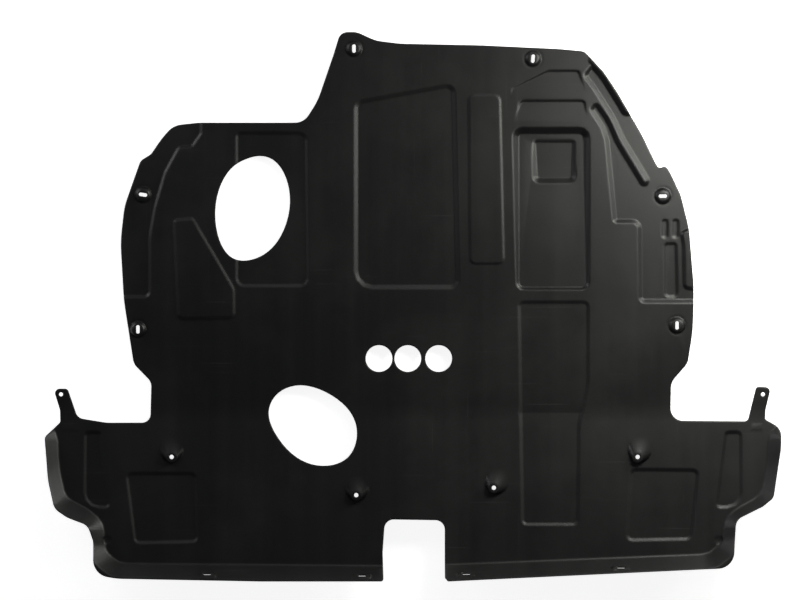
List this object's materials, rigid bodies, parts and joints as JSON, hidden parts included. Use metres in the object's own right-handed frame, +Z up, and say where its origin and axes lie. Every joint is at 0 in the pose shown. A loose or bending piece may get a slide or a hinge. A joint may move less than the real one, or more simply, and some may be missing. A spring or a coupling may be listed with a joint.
{
  "type": "engine splash shield",
  "caption": "One-piece moulded plastic undertray that closes the underside of an engine bay, with recessed pans, service openings, an upturned front lip and slotted edge seats.",
  "frame": {"origin": "middle of the sheet's outline box, on the level that its lowest pan rests on", "axes": "+X across the vehicle along the longest extent, +Y to the vehicle's rear, +Z up through the sheet to its engine side"},
  "size_m": [1.1024, 0.822, 0.0727],
  "materials": {
    "shield_plastic": "satin black moulded plastic with a fine grain"
  },
  "bodies": {
    "root": {"splash_shield": "shield_plastic"}
  },
  "joints": []
}
